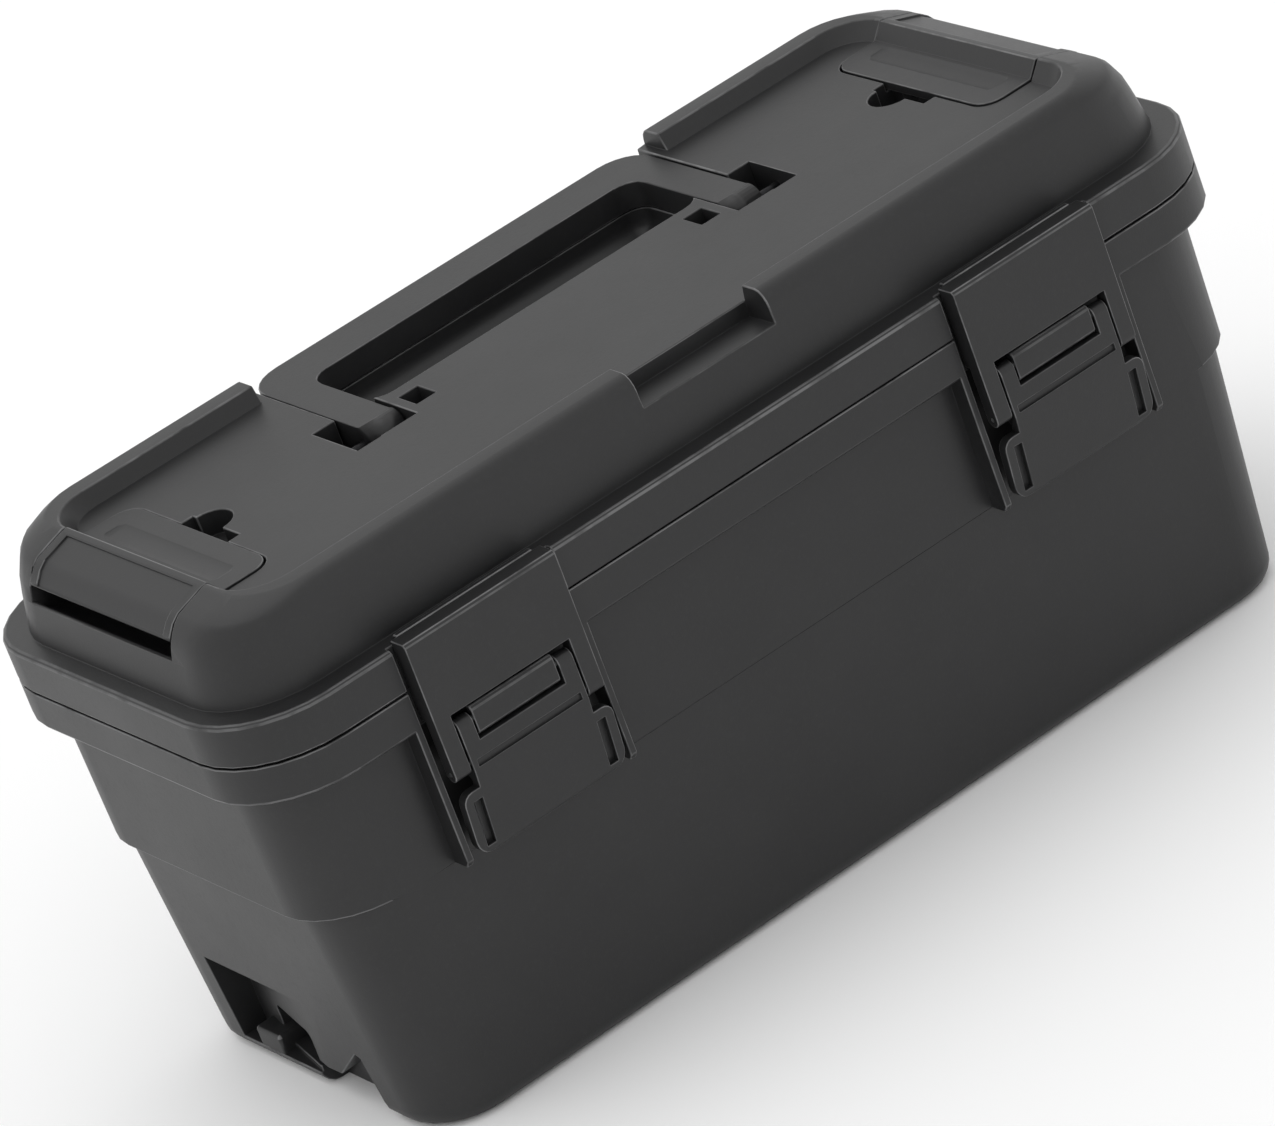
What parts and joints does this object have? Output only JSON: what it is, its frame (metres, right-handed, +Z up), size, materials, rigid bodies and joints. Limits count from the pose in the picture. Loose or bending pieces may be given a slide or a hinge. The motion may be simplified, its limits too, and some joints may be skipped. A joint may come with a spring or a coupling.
{
  "type": "toolbox",
  "caption": "Long black moulded toolbox with a domed lid, folding carry handle, draw latches, stacking clips on the lid ends and a lift-out tray inside.",
  "frame": {"origin": "on the ground, under the middle of the box", "axes": "+X along the length, -Y to the front with the latches, +Z up"},
  "size_m": [0.48, 0.217, 0.231],
  "materials": {
    "black_plastic": "fine moulded texture",
    "tray_plastic": "fine moulded texture",
    "steel_pin": "drawn wire"
  },
  "bodies": {
    "tub": {"base_tub": "black_plastic", "hinge_pin_left": "steel_pin", "hinge_pin_right": "steel_pin", "lever_pin_left": "steel_pin", "lever_pin_right": "steel_pin"},
    "lid": {"lid_shell": "black_plastic", "handle_pin_left": "steel_pin", "handle_pin_right": "steel_pin", "clip_pin_left": "steel_pin", "clip_pin_right": "steel_pin"},
    "tray": {"tray": "tray_plastic"},
    "handle": {"carry_handle": "black_plastic"},
    "lever_left": {"latch_lever_left": "black_plastic", "link_pin_left": "steel_pin"},
    "link_left": {"latch_link_left": "black_plastic"},
    "clip_left": {"stack_clip_left": "black_plastic"},
    "lever_right": {"latch_lever_right": "black_plastic", "link_pin_right": "steel_pin"},
    "link_right": {"latch_link_right": "black_plastic"},
    "clip_right": {"stack_clip_right": "black_plastic"}
  },
  "joints": [
    {"name": "lid_hinge", "type": "hinge", "parent": "tub", "child": "lid", "pos_m": [0, 0.1053, 0.177], "axis": [-1, 0, 0], "range_deg": [0, 105]},
    {"name": "tray_lift", "type": "slide", "parent": "tub", "child": "tray", "axis": [0, 0, 1], "range_m": [0, 0.024]},
    {"name": "handle_swing", "type": "hinge", "parent": "lid", "child": "handle", "pos_m": [0, 0.011, 0.216], "axis": [1, 0, 0], "range_deg": [0, 90]},
    {"name": "lever_left_swing", "type": "hinge", "parent": "tub", "child": "lever_left", "pos_m": [-0.1326, -0.105, 0.1558], "axis": [-1, 0, 0], "range_deg": [0, 100]},
    {"name": "link_left_swing", "type": "hinge", "parent": "lever_left", "child": "link_left", "pos_m": [-0.1326, -0.1052, 0.1405], "axis": [-1, 0, 0], "range_deg": [-115, 0]},
    {"name": "clip_left_swing", "type": "hinge", "parent": "lid", "child": "clip_left", "pos_m": [-0.215, 0.006, 0.217], "axis": [0, -1, 0], "range_deg": [0, 100]},
    {"name": "lever_right_swing", "type": "hinge", "parent": "tub", "child": "lever_right", "pos_m": [0.1326, -0.105, 0.1558], "axis": [-1, 0, 0], "range_deg": [0, 100]},
    {"name": "link_right_swing", "type": "hinge", "parent": "lever_right", "child": "link_right", "pos_m": [0.1326, -0.1052, 0.1405], "axis": [-1, 0, 0], "range_deg": [-115, 0]},
    {"name": "clip_right_swing", "type": "hinge", "parent": "lid", "child": "clip_right", "pos_m": [0.215, 0.006, 0.217], "axis": [0, 1, 0], "range_deg": [0, 100]}
  ],
  "couplings": [
    {"joint": "link_left_swing", "follows": "lever_left_swing", "ratio": -1.15},
    {"joint": "link_right_swing", "follows": "lever_right_swing", "ratio": -1.15}
  ]
}
